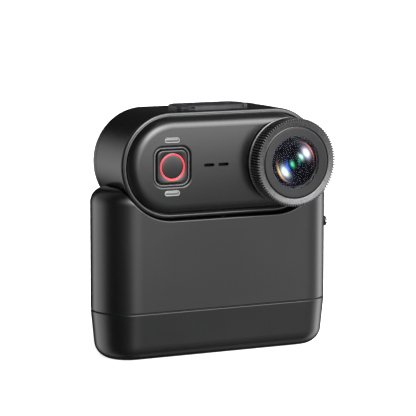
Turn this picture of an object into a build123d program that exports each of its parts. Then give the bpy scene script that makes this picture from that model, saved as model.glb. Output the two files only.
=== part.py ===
"""Two-piece action camera: a pill-shaped camera head that sits in the saddle of a screen-and-battery dock.

Units are millimetres. X runs across the camera, Y from front (negative) to back, Z up.
The origin is the middle of the flat base, on the axis of the tripod socket.
"""

from build123d import *
from math import cos, radians, sin, sqrt, tan
import os

os.makedirs("parts", exist_ok=True)

# ---- dock: outer shape ----
dock_width = 69.4
dock_depth = 20.4
shoulder_height = 46.75
shoulder_dome = 4.2
saddle_floor = 38.0
saddle_edge_round = 0.35
seam_height = 13.35
seam_gap = 0.25
seam_edge_round = 0.22
cap_draft = 5.5
cap_corner_round = 4.8
dock_wall = 1.8
cap_floor = 4.0
spigot_height = 1.5
spigot_wall = 1.2

# ---- head: outer shape ----
head_radius = 14.45
head_arc_span = 31.2
band_wall = 1.65
band_front_y = -8.6
band_back_y = 8.5
band_edge_round = 0.8
face_y = -11.2
face_tilt = 5.45
head_back_y = 11.2
cover_inset = 1.45
cover_edge_arc = 3.6
cover_edge_sweep = 60
cover_thickness = 1.6
cover_rim_wall = 1.5
ledge_front_y = -7.4
ledge_thickness = 1.2
ledge_reach = 1.2
lip_width = 0.35
lip_proud = 0.3
back_edge_round = 0.9
back_spigot_depth = 1.3
back_spigot_wall = 1.2
back_cover_wall = 1.5

# ---- fits shared by several pieces ----
seat_gap = 0.25
slip_fit = 0.15
close_fit = 0.05
gasket_inset = 0.55
running_fit = 0.08

# ---- lens and its turning guard ring ----
lens_x = 18.1
mount_collar_radius = 10.6
mount_neck_radius = 9.2
mount_bore = 6.75
ring_radius = 12.0
tooth_depth = 0.45
tooth_count = 100
ring_rear_gap = 0.5
ring_depth = 5.3
ring_flange = 0.4
ring_front_chamfer = 0.3
bezel_seat_radius = 9.55
bezel_groove = 0.15
glass_radius = 7.4
glass_thickness = 0.9
bezel_slope_depth = 0.5
barrel_wall = 0.9
collar_gap = 0.35
mount_flange = 1.2

# ---- record button, lights and microphones ----
button_x = -16.3
button_size = 9.2
button_corner = 2.0
button_travel = 0.4
button_recess = 0.25
bezel_frame = 0.5
opening_round = 0.6
record_ring_radius = 3.38
record_ring_width = 0.56
inlay_depth = 0.3
light_offset = 7.1
light_length = 4.5
light_height = 1.5
light_rim = 0.32
mic_spacing = 4.28
mic_x = -3.35
mic_length = 3.1
mic_height = 0.85

# ---- accessory plate on top ----
plate_length = 21.4
plate_depth = 10.2
plate_height = 1.0
plate_corner = 2.4
plate_y = 0.8
plate_sink = 0.6
plate_chamfer = 0.25
notch_lift = 0.15
notch_height = 0.5
plate_screw_x = 6.5
plate_screw_radius = 1.25

# ---- dock fittings ----
tripod_minor_radius = 2.55
tripod_insert_radius = 3.9
tripod_depth = 6.5
column_offset = 1.0
column_radius = 2.3
screw_head_radius = 1.4
screw_head_height = 0.9
screw_shank_radius = 0.7
screw_hex_radius = 0.6
screw_hex_depth = 0.5
thread_fit = 0.02
post_radius = 1.9
screen_end_margin = 1.5
screen_height = 19.6
screen_thickness = 1.0
panel_border = 1.6
panel_thickness = 1.1
contact_count = 4
contact_pitch = 3.0
contact_radius = 0.45
contact_block_length = 13.8
contact_block_depth = 4.8
magnet_x = 12.0
magnet_radius = 3.0
magnet_thickness = 1.5
switch_height = 33.95
switch_travel = 1.6
knob_height = 2.9
knob_depth = 6.0
knob_proud = 0.9
knob_groove = 0.5
stem_size = 1.6
port_height = 21.55
port_length = 9.0
port_width = 3.2

# ---- worked out from the values above ----
dock_radius = dock_depth / 2
dock_half_span = (dock_width - dock_depth) / 2
head_half_span = head_arc_span / 2
column_x = dock_half_span + column_offset
screen_width = 2 * (dock_half_span - screen_end_margin)
head_z = saddle_floor + seat_gap + head_radius
band_inner_radius = head_radius - band_wall
lip_outer_radius = head_radius - band_edge_round
cover_rim_radius = head_radius - cover_inset
face_radius = cover_rim_radius - cover_edge_arc * (sin(radians(cover_edge_sweep)) - sin(radians(face_tilt)))
crown_radius = face_radius / sin(radians(face_tilt))
crown_edge_y = face_y + crown_radius * (1 - cos(radians(face_tilt)))
edge_start_y = crown_edge_y + cover_edge_arc * (cos(radians(face_tilt)) - cos(radians(cover_edge_sweep)))
light_front_y = face_y + crown_radius - sqrt(crown_radius**2 - light_offset**2)
saddle_radius = head_radius + seat_gap
saddle_underside = saddle_floor - dock_wall
shell_bottom = seam_height + seam_gap / 2
cap_top = seam_height - seam_gap / 2
draft_top = cap_top - seam_edge_round
draft_bottom = cap_corner_round * (1 - sin(radians(cap_draft)))
base_half_depth = (
    dock_radius - (draft_top - draft_bottom) * tan(radians(cap_draft))
    - cap_corner_round * cos(radians(cap_draft))
)
shell_inner_radius = dock_radius - dock_wall
spigot_radius = shell_inner_radius - slip_fit
plate_top = head_z + head_radius + plate_height
ring_rear_y = face_y - ring_rear_gap
ring_front_y = ring_rear_y - ring_depth
ring_bore = mount_collar_radius + running_fit
glass_front_y = ring_front_y + bezel_groove + bezel_slope_depth
glass_back_y = glass_front_y + glass_thickness
collar_front_y = glass_back_y + collar_gap
barrel_radius = mount_bore - running_fit
barrel_front_y = collar_front_y + 0.2
end_wall_x = dock_width / 2


def front_plane(y):
    """Plane across the camera at depth y; it faces the front, so a positive extrusion comes forward."""
    return Plane.XZ.offset(-y)


def stadium_round(section, half_span, axis, flip_plane):
    """Half section on the YZ plane carried round a stadium: a straight run on each side, a half turn at each end."""
    for profile in (section, section.mirror(flip_plane)):
        extrude(profile, amount=half_span, both=True)
    for side in (-1, 1):
        end_axis = Axis(axis.position + Vector(side * half_span, 0, 0), axis.direction * side)
        revolve(section.moved(Location((side * half_span, 0, 0))), axis=end_axis, revolution_arc=180)


def saddle_distance(edge):
    """How far an edge's middle lies from the saddle surface, a stadium about the head's centre line."""
    middle = edge @ 0.5
    beyond = max(abs(middle.X) - head_half_span, 0)
    return abs(sqrt(beyond**2 + (middle.Z - head_z) ** 2) - saddle_radius)


def stadium_ring(y_front, y_back, outer, inner):
    """Stadium-shaped ring round the head's centre line between two depths."""
    with BuildPart() as ring:
        with BuildSketch(front_plane(y_back)):
            with Locations((0, head_z)):
                SlotCenterToCenter(head_arc_span, 2 * outer)
                if inner:
                    SlotCenterToCenter(head_arc_span, 2 * inner, mode=Mode.SUBTRACT)
        extrude(amount=y_back - y_front)
    return ring.part


def barrel_solid(y_front, y_back, outer, inner=0.0, x=lens_x):
    """Plain tube or disc about an axis that runs front to back."""
    with BuildPart() as tube:
        with BuildSketch(front_plane(y_back)):
            with Locations((x, head_z)):
                Circle(outer)
                if inner:
                    Circle(inner, mode=Mode.SUBTRACT)
        extrude(amount=y_back - y_front)
    return tube.part


def face_pad(y_front, y_back, x, z, width, height, corner=0.0):
    """Rounded rectangular block between two depths."""
    with BuildPart() as pad:
        with BuildSketch(front_plane(y_back)):
            with Locations((x, z)):
                if corner:
                    RectangleRounded(width, height, corner)
                else:
                    Rectangle(width, height)
        extrude(amount=y_back - y_front)
    return pad.part


def upright(x, y, z_low, z_high, radius):
    """Round column standing between two heights."""
    with BuildPart() as column:
        with BuildSketch(Plane.XY.offset(z_low)):
            with Locations((x, y)):
                Circle(radius)
        extrude(amount=z_high - z_low)
    return column.part


dock_axis = Axis((0, 0, 0), (0, 0, -1))
head_axis = Axis((0, 0, head_z), (0, 1, 0))
head_flip = Plane.XY.offset(head_z)
contact_places = [(i - (contact_count - 1) / 2) * contact_pitch for i in range(contact_count)]
post_inset = 1.5
cover_screw_reach = (band_inner_radius - post_inset) * cos(radians(45))
cover_screws = [
    (sx * (head_half_span + cover_screw_reach), head_z + sz * cover_screw_reach)
    for sx in (-1, 1) for sz in (-1, 1)
]

# ================= dock =================

# Hollow of the dock shell: a stadium well that stops one wall short of the saddle.
with BuildPart() as shell_hollow:
    with BuildSketch(Plane.XY.offset(shell_bottom)):
        SlotCenterToCenter(2 * dock_half_span, 2 * shell_inner_radius)
    extrude(amount=shoulder_height - dock_wall - shell_bottom)
    add(stadium_ring(-dock_depth, dock_depth, saddle_radius + dock_wall, 0), mode=Mode.SUBTRACT)
    for side in (-1, 1):
        add(upright(side * column_x, 0, shell_bottom, shoulder_height, column_radius), mode=Mode.SUBTRACT)

# Upper shell with domed shoulders and the saddle that cradles the head.
with BuildPart() as dock_shell:
    with BuildSketch(Plane.YZ, mode=Mode.PRIVATE) as shell_section:
        with BuildLine():
            Line((0, shell_bottom), (dock_radius - seam_edge_round, shell_bottom))
            CenterArc((dock_radius - seam_edge_round, shell_bottom + seam_edge_round), seam_edge_round, 270, 90)
            Line((dock_radius, shell_bottom + seam_edge_round), (dock_radius, shoulder_height - shoulder_dome))
            CenterArc((dock_radius - shoulder_dome, shoulder_height - shoulder_dome), shoulder_dome, 0, 90)
            Line((dock_radius - shoulder_dome, shoulder_height), (0, shoulder_height))
            Line((0, shoulder_height), (0, shell_bottom))
        make_face()
    stadium_round(shell_section.sketch, dock_half_span, dock_axis, Plane.XZ)
    add(stadium_ring(-dock_depth, dock_depth, saddle_radius, 0), mode=Mode.SUBTRACT)
    with BuildSketch(Plane.XY.offset(saddle_underside - 1)):
        Rectangle(contact_block_length + 2 * close_fit, contact_block_depth + 2 * close_fit)
    extrude(amount=dock_wall + 2, mode=Mode.SUBTRACT)
    rim_edges = dock_shell.edges().filter_by(
        lambda e: abs(e.center().Y) > 0.5 * dock_radius and e.center().Z > saddle_floor - 0.1
        and saddle_distance(e) < 0.01
    )
    fillet(rim_edges, saddle_edge_round)
    add(shell_hollow.part, mode=Mode.SUBTRACT)
    screen_z = (shell_bottom + saddle_floor) / 2
    add(face_pad(dock_radius - screen_thickness, dock_radius + 1, 0, screen_z,
                 screen_width, screen_height, 1.5), mode=Mode.SUBTRACT)
    add(face_pad(dock_radius - 1.5 * dock_wall, dock_radius - 0.5 * screen_thickness, 0, screen_z,
                 screen_width - 2 * panel_border, screen_height - 2 * panel_border, 0.8), mode=Mode.SUBTRACT)
    slot_height = stem_size + switch_travel + 2 * slip_fit
    with BuildSketch(Plane.YZ.offset(end_wall_x - 2 * dock_wall)):
        with Locations((0, switch_height + switch_travel / 2)):
            Rectangle(stem_size + 2 * slip_fit, slot_height)
        with Locations((0, port_height)):
            RectangleRounded(port_width, port_length, port_width / 2 - 0.01)
    extrude(amount=3 * dock_wall, mode=Mode.SUBTRACT)
    for side in (-1, 1):
        add(upright(side * column_x, 0, shell_bottom, shell_bottom + 7, screw_shank_radius + thread_fit),
            mode=Mode.SUBTRACT)
dock_shell.part.label = "dock_shell"
export_step(dock_shell.part, "parts/dock_shell.step")

# Base cap: drafted skirt with a rounded lower corner, battery tray and a spigot inside the shell.
with BuildPart() as dock_base_cap:
    with BuildSketch(Plane.YZ, mode=Mode.PRIVATE) as cap_section:
        with BuildLine():
            Line((0, 0), (base_half_depth, 0))
            lower_corner = CenterArc((base_half_depth, cap_corner_round), cap_corner_round, 270, 90 - cap_draft)
            Line(lower_corner @ 1, (dock_radius, draft_top))
            CenterArc((dock_radius - seam_edge_round, draft_top), seam_edge_round, 0, 90)
            Line((dock_radius - seam_edge_round, cap_top), (0, cap_top))
            Line((0, cap_top), (0, 0))
        make_face()
    stadium_round(cap_section.sketch, dock_half_span, dock_axis, Plane.XZ)
    with BuildSketch(Plane.XY.offset(cap_top)):
        SlotCenterToCenter(2 * dock_half_span, 2 * spigot_radius)
    extrude(amount=spigot_height + seam_gap)
    with BuildSketch(Plane.XY.offset(cap_floor)):
        SlotCenterToCenter(2 * dock_half_span, 2 * (spigot_radius - spigot_wall))
    extrude(amount=dock_depth, mode=Mode.SUBTRACT)
    add(upright(0, 0, cap_floor, tripod_depth + 1.5, tripod_insert_radius + 1.2))
    add(upright(0, 0, 0, tripod_depth, tripod_insert_radius), mode=Mode.SUBTRACT)
    for side in (-1, 1):
        x = side * column_x
        add(upright(x, 0, cap_floor, cap_top, column_radius))
        add(upright(x, 0, cap_top, cap_top + dock_depth, column_radius + slip_fit), mode=Mode.SUBTRACT)
        add(upright(x, 0, 0, cap_top, screw_shank_radius + slip_fit), mode=Mode.SUBTRACT)
        add(upright(x, 0, 0, screw_head_height + 0.4, screw_head_radius + slip_fit), mode=Mode.SUBTRACT)
dock_base_cap.part.label = "dock_base_cap"
export_step(dock_base_cap.part, "parts/dock_base_cap.step")

# Seal that fills the seam between shell and cap, set back from the outside.
with BuildPart() as cap_gasket:
    with BuildSketch(Plane.XY.offset(cap_top)):
        SlotCenterToCenter(2 * dock_half_span, 2 * (dock_radius - gasket_inset))
        SlotCenterToCenter(2 * dock_half_span, 2 * shell_inner_radius, mode=Mode.SUBTRACT)
    extrude(amount=seam_gap)
cap_gasket.part.label = "cap_gasket"
export_step(cap_gasket.part, "parts/cap_gasket.step")

# Threaded brass insert for a tripod, modelled at its minor bore.
with BuildPart() as tripod_insert:
    with BuildSketch(Plane.XY):
        Circle(tripod_insert_radius)
        Circle(tripod_minor_radius, mode=Mode.SUBTRACT)
    extrude(amount=tripod_depth)
tripod_insert.part.label = "tripod_insert"
export_step(tripod_insert.part, "parts/tripod_insert.step")

# Two screws up through the cap into the shell's columns.
with BuildPart() as base_screws:
    for side in (-1, 1):
        x = side * column_x
        add(upright(x, 0, 0.4, 0.4 + screw_head_height, screw_head_radius))
        add(upright(x, 0, 0.4 + screw_head_height, shell_bottom + 6, screw_shank_radius))
        with BuildSketch(Plane.XY.offset(0.4)):
            with Locations((x, 0)):
                RegularPolygon(screw_hex_radius, 6)
        extrude(amount=screw_hex_depth, mode=Mode.SUBTRACT)
base_screws.part.label = "base_screws"
export_step(base_screws.part, "parts/base_screws.step")

# Cover glass of the rear screen, flush with the back of the shell.
with BuildPart() as screen_glass:
    add(face_pad(dock_radius - screen_thickness, dock_radius, 0, screen_z,
                 screen_width - 2 * close_fit, screen_height - 2 * close_fit, 1.45))
    fillet(screen_glass.faces().sort_by(Axis.Y)[-1].edges(), 0.2)
screen_glass.part.label = "screen_glass"
export_step(screen_glass.part, "parts/screen_glass.step")

# Display panel laminated behind the glass, inside the window.
panel_back_y = dock_radius - screen_thickness
with BuildPart() as display_panel:
    add(face_pad(panel_back_y - panel_thickness, panel_back_y, 0, screen_z,
                 screen_width - 2 * panel_border - 2 * slip_fit,
                 screen_height - 2 * panel_border - 2 * slip_fit, 0.6))
display_panel.part.label = "display_panel"
export_step(display_panel.part, "parts/display_panel.step")

# Main board of the dock, behind the display.
board_thickness = 0.8
dock_board_y = panel_back_y - panel_thickness - 1.2
dock_board_low = cap_top + spigot_height + 2 * seam_gap
with BuildPart() as dock_board:
    add(face_pad(dock_board_y - board_thickness, dock_board_y, 0,
                 (dock_board_low + saddle_underside - 3) / 2, 42, saddle_underside - 3 - dock_board_low, 1.0))
dock_board.part.label = "dock_board"
export_step(dock_board.part, "parts/dock_board.step")

# Shielded chips and connectors soldered to the front of the dock board.
with BuildPart() as dock_chips:
    for x, z, width, height, depth in ((-11, 26, 11, 7, 1.2), (6, 27, 9, 6, 1.0), (15, 20, 7, 5, 0.9)):
        add(face_pad(dock_board_y - board_thickness - depth, dock_board_y - board_thickness,
                     x, z, width, height, 0.4))
dock_chips.part.label = "dock_chips"
export_step(dock_chips.part, "parts/dock_chips.step")

# Flat lithium cell of the dock, standing in the cap's tray.
cell_back_y = dock_board_y - board_thickness - 1.8
cell_front_y = -(spigot_radius - spigot_wall - 0.4)
cell_bottom = tripod_depth + 1.5 + slip_fit
with BuildPart() as dock_cell:
    add(face_pad(cell_front_y, cell_back_y, 0, (cell_bottom + saddle_underside - 2.6) / 2,
                 2 * (column_x - column_radius - 1.2), saddle_underside - 2.6 - cell_bottom, 1.2))
    fillet(dock_cell.edges().filter_by(Axis.Z), 1.0)
dock_cell.part.label = "dock_cell"
export_step(dock_cell.part, "parts/dock_cell.step")

# Moulded block that carries the charging contacts through the saddle floor.
chamber_low = saddle_underside - 1.0
with BuildPart() as contact_block:
    with BuildSketch(Plane.XY.offset(chamber_low)):
        Rectangle(contact_block_length + 1.6, contact_block_depth + 1.6)
    extrude(amount=saddle_underside - chamber_low)
    with BuildSketch(Plane.XY.offset(saddle_underside)):
        Rectangle(contact_block_length, contact_block_depth)
    extrude(amount=dock_wall - 0.05)
    for x in contact_places:
        add(upright(x, 0, chamber_low + 0.3, saddle_floor, contact_radius + close_fit), mode=Mode.SUBTRACT)
        add(upright(x, 0, chamber_low + 0.3, chamber_low + 1.6, contact_radius + 0.3), mode=Mode.SUBTRACT)
contact_block.part.label = "contact_block"
export_step(contact_block.part, "parts/contact_block.step")

# Spring-loaded gold plungers, shown pressed down by the docked head.
with BuildPart() as spring_contacts:
    for x in contact_places:
        add(upright(x, 0, chamber_low + 1.1, head_z - head_radius - 0.02, contact_radius))
        add(upright(x, 0, chamber_low + 0.85, chamber_low + 1.55, contact_radius + 0.2))
spring_contacts.part.label = "spring_contacts"
export_step(spring_contacts.part, "parts/spring_contacts.step")

# Magnets under the saddle that hold the head down.
with BuildPart() as dock_magnets:
    for side in (-1, 1):
        add(upright(side * magnet_x, 0, saddle_underside - magnet_thickness, saddle_underside,
                    magnet_radius))
dock_magnets.part.label = "dock_magnets"
export_step(dock_magnets.part, "parts/dock_magnets.step")

# Knob of the side slide switch: grooved pad outside the wall, stem through it and a retaining foot.
knob_inner_x = end_wall_x + slip_fit
inner_wall_x = dock_half_span + shell_inner_radius
foot_thickness = 0.8
with BuildPart() as switch_knob:
    with BuildSketch(Plane.YZ.offset(knob_inner_x)):
        with Locations((0, switch_height)):
            RectangleRounded(knob_depth, knob_height, knob_height / 2 - 0.05)
    extrude(amount=knob_proud - slip_fit)
    fillet(switch_knob.faces().sort_by(Axis.X)[-1].edges(), 0.3)
    with BuildSketch(Plane.YZ.offset(knob_inner_x + 0.2)):
        with Locations((0, switch_height)):
            Rectangle(knob_depth + 1, knob_groove)
    extrude(amount=knob_proud, mode=Mode.SUBTRACT)
    with BuildSketch(Plane.YZ.offset(inner_wall_x - slip_fit - foot_thickness)):
        with Locations((0, switch_height)):
            Rectangle(stem_size, stem_size)
    extrude(amount=knob_inner_x - inner_wall_x + slip_fit + foot_thickness + 0.1)
    with BuildSketch(Plane.YZ.offset(inner_wall_x - slip_fit - foot_thickness)):
        with Locations((0, switch_height)):
            Rectangle(stem_size + 1.4, stem_size + 0.4)
    extrude(amount=foot_thickness - 0.35)
switch_knob.part.label = "switch_knob"
export_step(switch_knob.part, "parts/switch_knob.step")

# Slide switch body on the inside of the end wall.
switch_body_x = inner_wall_x - slip_fit - foot_thickness - 0.3
with BuildPart() as switch_body:
    with BuildSketch(Plane.YZ.offset(switch_body_x - 2.4)):
        with Locations((0, switch_height + switch_travel / 2)):
            RectangleRounded(5.2, 7.0, 0.4)
    extrude(amount=2.4)
switch_body.part.label = "switch_body"
export_step(switch_body.part, "parts/switch_body.step")

# Charging socket in the end wall: open metal shell with a centre tongue.
socket_depth = 6.0
socket_skin = 0.3
socket_x = end_wall_x - 0.5
with BuildPart() as usb_socket:
    with BuildSketch(Plane.YZ.offset(socket_x - socket_depth)):
        with Locations((0, port_height)):
            RectangleRounded(port_width - 2 * close_fit, port_length - 2 * close_fit,
                             port_width / 2 - close_fit - 0.01)
    extrude(amount=socket_depth)
    with BuildSketch(Plane.YZ.offset(socket_x - socket_depth + 0.8)):
        with Locations((0, port_height)):
            RectangleRounded(port_width - 2 * socket_skin, port_length - 2 * socket_skin,
                             port_width / 2 - socket_skin - 0.01)
    extrude(amount=socket_depth, mode=Mode.SUBTRACT)
    with BuildSketch(Plane.YZ.offset(socket_x - socket_depth + 0.7)):
        with Locations((0, port_height)):
            Rectangle(0.7, port_length - 2.4)
    extrude(amount=socket_depth - 1.4)
usb_socket.part.label = "usb_socket"
export_step(usb_socket.part, "parts/usb_socket.step")

# Small speaker at the other end of the dock.
with BuildPart() as dock_speaker:
    with BuildSketch(Plane.YZ.offset(-(inner_wall_x - 1.0))):
        with Locations((0, port_height)):
            RectangleRounded(7.0, 11.0, 1.0)
    extrude(amount=2.6)
dock_speaker.part.label = "dock_speaker"
export_step(dock_speaker.part, "parts/dock_speaker.step")

# ================= head =================

# Band of the head: stadium tube with an inner ledge, four screw posts and cut-outs.
with BuildPart() as head_frame:
    add(stadium_ring(band_front_y, band_back_y, head_radius, band_inner_radius))
    fillet(head_frame.faces().sort_by(Axis.Y)[0].edges().filter_by(
        lambda e: abs(e.center().Z - head_z) > band_inner_radius + 0.5 * band_wall
        or abs(e.center().X) > head_half_span + band_inner_radius + 0.5 * band_wall), band_edge_round)
    add(stadium_ring(ledge_front_y, ledge_front_y + ledge_thickness, band_inner_radius + 0.2,
                     cover_rim_radius - ledge_reach))
    post_back_y = band_back_y - back_spigot_depth - slip_fit
    for x, z in cover_screws:
        with BuildSketch(front_plane(post_back_y)):
            with Locations((x, z)):
                Circle(post_radius)
        extrude(amount=post_back_y - ledge_front_y - 0.5 * ledge_thickness)
    with BuildSketch(front_plane(head_back_y + 1)):
        with Locations((0, head_z)):
            SlotCenterToCenter(head_arc_span + 10 * head_radius, 10 * head_radius)
            SlotCenterToCenter(head_arc_span, 2 * head_radius, mode=Mode.SUBTRACT)
    extrude(amount=4 * head_radius, mode=Mode.SUBTRACT)
    add(stadium_ring(band_front_y - 1, ledge_front_y, lip_outer_radius, 0), mode=Mode.SUBTRACT)
    for x, z in cover_screws:
        with BuildSketch(front_plane(head_back_y)):
            with Locations((x, z)):
                Circle(screw_shank_radius + thread_fit)
        extrude(amount=8, mode=Mode.SUBTRACT)
    with BuildSketch(Plane.XY.offset(head_z - head_radius - 1)):
        Rectangle(contact_block_length + 2 * close_fit, contact_block_depth + 2 * close_fit)
    extrude(amount=band_wall + 2, mode=Mode.SUBTRACT)
    with BuildSketch(Plane.XY.offset(head_z + head_radius - plate_sink)):
        with Locations((0, plate_y)):
            Rectangle(plate_length - 2 * plate_corner, plate_depth - 2 * plate_corner)
    extrude(amount=2, mode=Mode.SUBTRACT)
head_frame.part.label = "head_frame"
export_step(head_frame.part, "parts/head_frame.step")

# Thin bright trim lip that stands just proud of the band round the front cover.
with BuildPart() as trim_lip:
    add(stadium_ring(band_front_y - lip_proud, ledge_front_y, lip_outer_radius,
                     lip_outer_radius - lip_width))
trim_lip.part.label = "trim_lip"
export_step(trim_lip.part, "parts/trim_lip.step")

# Front cover: slightly crowned face with a rolled edge, hollow behind, with openings for what it carries.
with BuildPart() as front_cover:
    with BuildSketch(Plane.YZ, mode=Mode.PRIVATE) as cover_section:
        with BuildLine():
            CenterArc((face_y + crown_radius, head_z), crown_radius, 180 - face_tilt, face_tilt)
            CenterArc((crown_edge_y + cover_edge_arc * cos(radians(face_tilt)),
                       head_z + face_radius - cover_edge_arc * sin(radians(face_tilt))),
                      cover_edge_arc, 180 - cover_edge_sweep, cover_edge_sweep - face_tilt)
            Line((edge_start_y, head_z + cover_rim_radius), (ledge_front_y, head_z + cover_rim_radius))
            Line((ledge_front_y, head_z + cover_rim_radius),
                 (ledge_front_y, head_z + cover_rim_radius - cover_rim_wall))
            Line((ledge_front_y, head_z + cover_rim_radius - cover_rim_wall),
                 (edge_start_y, head_z + cover_rim_radius - cover_rim_wall))
            Line((edge_start_y, head_z + cover_rim_radius - cover_rim_wall),
                 (face_y + cover_thickness, head_z + face_radius - cover_rim_wall))
            Line((face_y + cover_thickness, head_z + face_radius - cover_rim_wall),
                 (face_y + cover_thickness, head_z))
            Line((face_y + cover_thickness, head_z), (face_y, head_z))
        make_face()
    stadium_round(cover_section.sketch, head_half_span, head_axis, head_flip)
    opening_size = button_size + 2 * (close_fit + 0.1 + bezel_frame)
    opening_corner = button_corner + bezel_frame
    add(face_pad(face_y - 1, face_y + 3, button_x, head_z, opening_size, opening_size, opening_corner),
        mode=Mode.SUBTRACT)
    opening_rim = front_cover.edges().filter_by(
        lambda e: e.center().Y < face_y + 0.25 * cover_thickness
        and max(abs(e.center().X - button_x), abs(e.center().Z - head_z)) < 0.5 * opening_size + close_fit
    )
    fillet(opening_rim, opening_round)
    add(barrel_solid(face_y - 1, 0, mount_neck_radius + close_fit, x=lens_x), mode=Mode.SUBTRACT)
    for side in (-1, 1):
        add(face_pad(face_y - 1, face_y + 3, button_x, head_z + side * light_offset,
                     light_length + 0.06, light_height + 0.06, light_height / 2), mode=Mode.SUBTRACT)
        add(face_pad(face_y - 1, face_y + 3, mic_x + side * mic_spacing / 2, head_z,
                     mic_length, mic_height, mic_height / 2 - 0.01), mode=Mode.SUBTRACT)
front_cover.part.label = "front_cover"
export_step(front_cover.part, "parts/front_cover.step")

# Rear cover with a rounded outer edge, a spigot inside the band and counterbored screw holes.
cover_plane_y = band_back_y + seam_gap
with BuildPart() as back_cover:
    add(stadium_ring(cover_plane_y, head_back_y, head_radius, 0))
    fillet(back_cover.faces().sort_by(Axis.Y)[-1].edges(), back_edge_round)
    pocket_y = head_back_y - back_cover_wall
    add(stadium_ring(cover_plane_y - 1, pocket_y,
                     band_inner_radius - slip_fit - back_spigot_wall, 0), mode=Mode.SUBTRACT)
    add(stadium_ring(cover_plane_y - back_spigot_depth, cover_plane_y,
                     band_inner_radius - slip_fit, band_inner_radius - slip_fit - back_spigot_wall))
    for x, z in cover_screws:
        with BuildSketch(front_plane(pocket_y)):
            with Locations((x, z)):
                Circle(post_radius)
        extrude(amount=pocket_y - cover_plane_y + back_spigot_depth)
    add(stadium_ring(cover_plane_y - back_spigot_depth - 1, cover_plane_y, 3 * head_radius,
                     band_inner_radius - slip_fit), mode=Mode.SUBTRACT)
    for x, z in cover_screws:
        with BuildSketch(front_plane(head_back_y + 1)):
            with Locations((x, z)):
                Circle(screw_shank_radius + slip_fit)
        extrude(amount=6, mode=Mode.SUBTRACT)
        with BuildSketch(front_plane(head_back_y + 1)):
            with Locations((x, z)):
                Circle(screw_head_radius + slip_fit)
        extrude(amount=screw_head_height + 1 + 0.1, mode=Mode.SUBTRACT)
back_cover.part.label = "back_cover"
export_step(back_cover.part, "parts/back_cover.step")

# Seal in the seam between band and rear cover.
with BuildPart() as back_gasket:
    add(stadium_ring(band_back_y, cover_plane_y, head_radius - gasket_inset, band_inner_radius + 0.05))
back_gasket.part.label = "back_gasket"
export_step(back_gasket.part, "parts/back_gasket.step")

# Four screws through the rear cover into the posts of the band.
with BuildPart() as cover_screw_set:
    for x, z in cover_screws:
        head_face_y = head_back_y - 0.1
        add(barrel_solid(head_face_y - screw_head_height, head_face_y, screw_head_radius, x=0).moved(
            Location((x, 0, z - head_z))))
        add(barrel_solid(head_face_y - 7, head_face_y - screw_head_height, screw_shank_radius, x=0).moved(
            Location((x, 0, z - head_z))))
        with BuildSketch(front_plane(head_face_y)):
            with Locations((x, z)):
                RegularPolygon(screw_hex_radius, 6)
        extrude(amount=screw_hex_depth, mode=Mode.SUBTRACT)
cover_screw_set.part.label = "cover_screws"
export_step(cover_screw_set.part, "parts/cover_screws.step")

# Frame pressed into the cover round the record button.
bezel_back_y = face_y + cover_thickness + 0.6
with BuildPart() as button_bezel:
    with BuildSketch(front_plane(bezel_back_y)):
        with Locations((button_x, head_z)):
            RectangleRounded(opening_size - 2 * close_fit, opening_size - 2 * close_fit,
                             opening_corner - close_fit)
            RectangleRounded(button_size + 0.2, button_size + 0.2, button_corner + 0.1, mode=Mode.SUBTRACT)
    extrude(amount=bezel_back_y - face_y - opening_round)
button_bezel.part.label = "button_bezel"
export_step(button_bezel.part, "parts/button_bezel.step")

# Record button: chamfered square cap, groove for the red ring, retaining flange and nub behind.
button_front_y = face_y + button_recess
flange_y = bezel_back_y + close_fit
ring_seat = record_ring_width / 2
with BuildPart() as record_button:
    with BuildSketch(front_plane(flange_y + 0.5)):
        with Locations((button_x, head_z)):
            RectangleRounded(button_size, button_size, button_corner)
    extrude(amount=flange_y + 0.5 - button_front_y)
    chamfer(record_button.faces().sort_by(Axis.Y)[0].edges(), 0.25)
    with BuildSketch(front_plane(button_front_y + inlay_depth)):
        with Locations((button_x, head_z)):
            Circle(record_ring_radius + ring_seat)
            Circle(record_ring_radius - ring_seat, mode=Mode.SUBTRACT)
    extrude(amount=inlay_depth + 1, mode=Mode.SUBTRACT)
    add(face_pad(flange_y, flange_y + 0.5, button_x, head_z, button_size + 0.9, button_size + 0.9,
                 button_corner))
    add(barrel_solid(flange_y + 0.5, flange_y + 1.0, 1.2, x=button_x))
record_button.part.label = "record_button"
export_step(record_button.part, "parts/record_button.step")

# Red ring inlaid in the button's face.
with BuildPart() as record_ring:
    add(barrel_solid(button_front_y - 0.03, button_front_y + inlay_depth, record_ring_radius + ring_seat,
                     record_ring_radius - ring_seat, x=button_x))
record_ring.part.label = "record_ring"
export_step(record_ring.part, "parts/record_ring.step")

# Plunger that the button pushes into the tact switch.
plunger_y = flange_y + 1.0
with BuildPart() as switch_plunger:
    add(barrel_solid(plunger_y, plunger_y + 1.2, 0.8, x=button_x))
switch_plunger.part.label = "switch_plunger"
export_step(switch_plunger.part, "parts/switch_plunger.step")

# Tact switch body with a socket for the plunger's travel.
tact_front_y = plunger_y + button_travel + 0.3
with BuildPart() as tact_switch:
    add(face_pad(tact_front_y, tact_front_y + 1.6, button_x, head_z, 4.6, 4.6, 0.3))
    add(barrel_solid(tact_front_y - 1, tact_front_y + 1.3, 0.8 + running_fit, x=button_x),
        mode=Mode.SUBTRACT)
tact_switch.part.label = "tact_switch"
export_step(tact_switch.part, "parts/tact_switch.step")

# Small board that carries the tact switch, the lights and the microphones.
key_board_y = tact_front_y + 1.6
with BuildPart() as key_board:
    add(face_pad(key_board_y, key_board_y + 0.6, button_x + 7.3, head_z, 23.6, 16.4, 2.0))
key_board.part.label = "key_board"
export_step(key_board.part, "parts/key_board.step")

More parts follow.
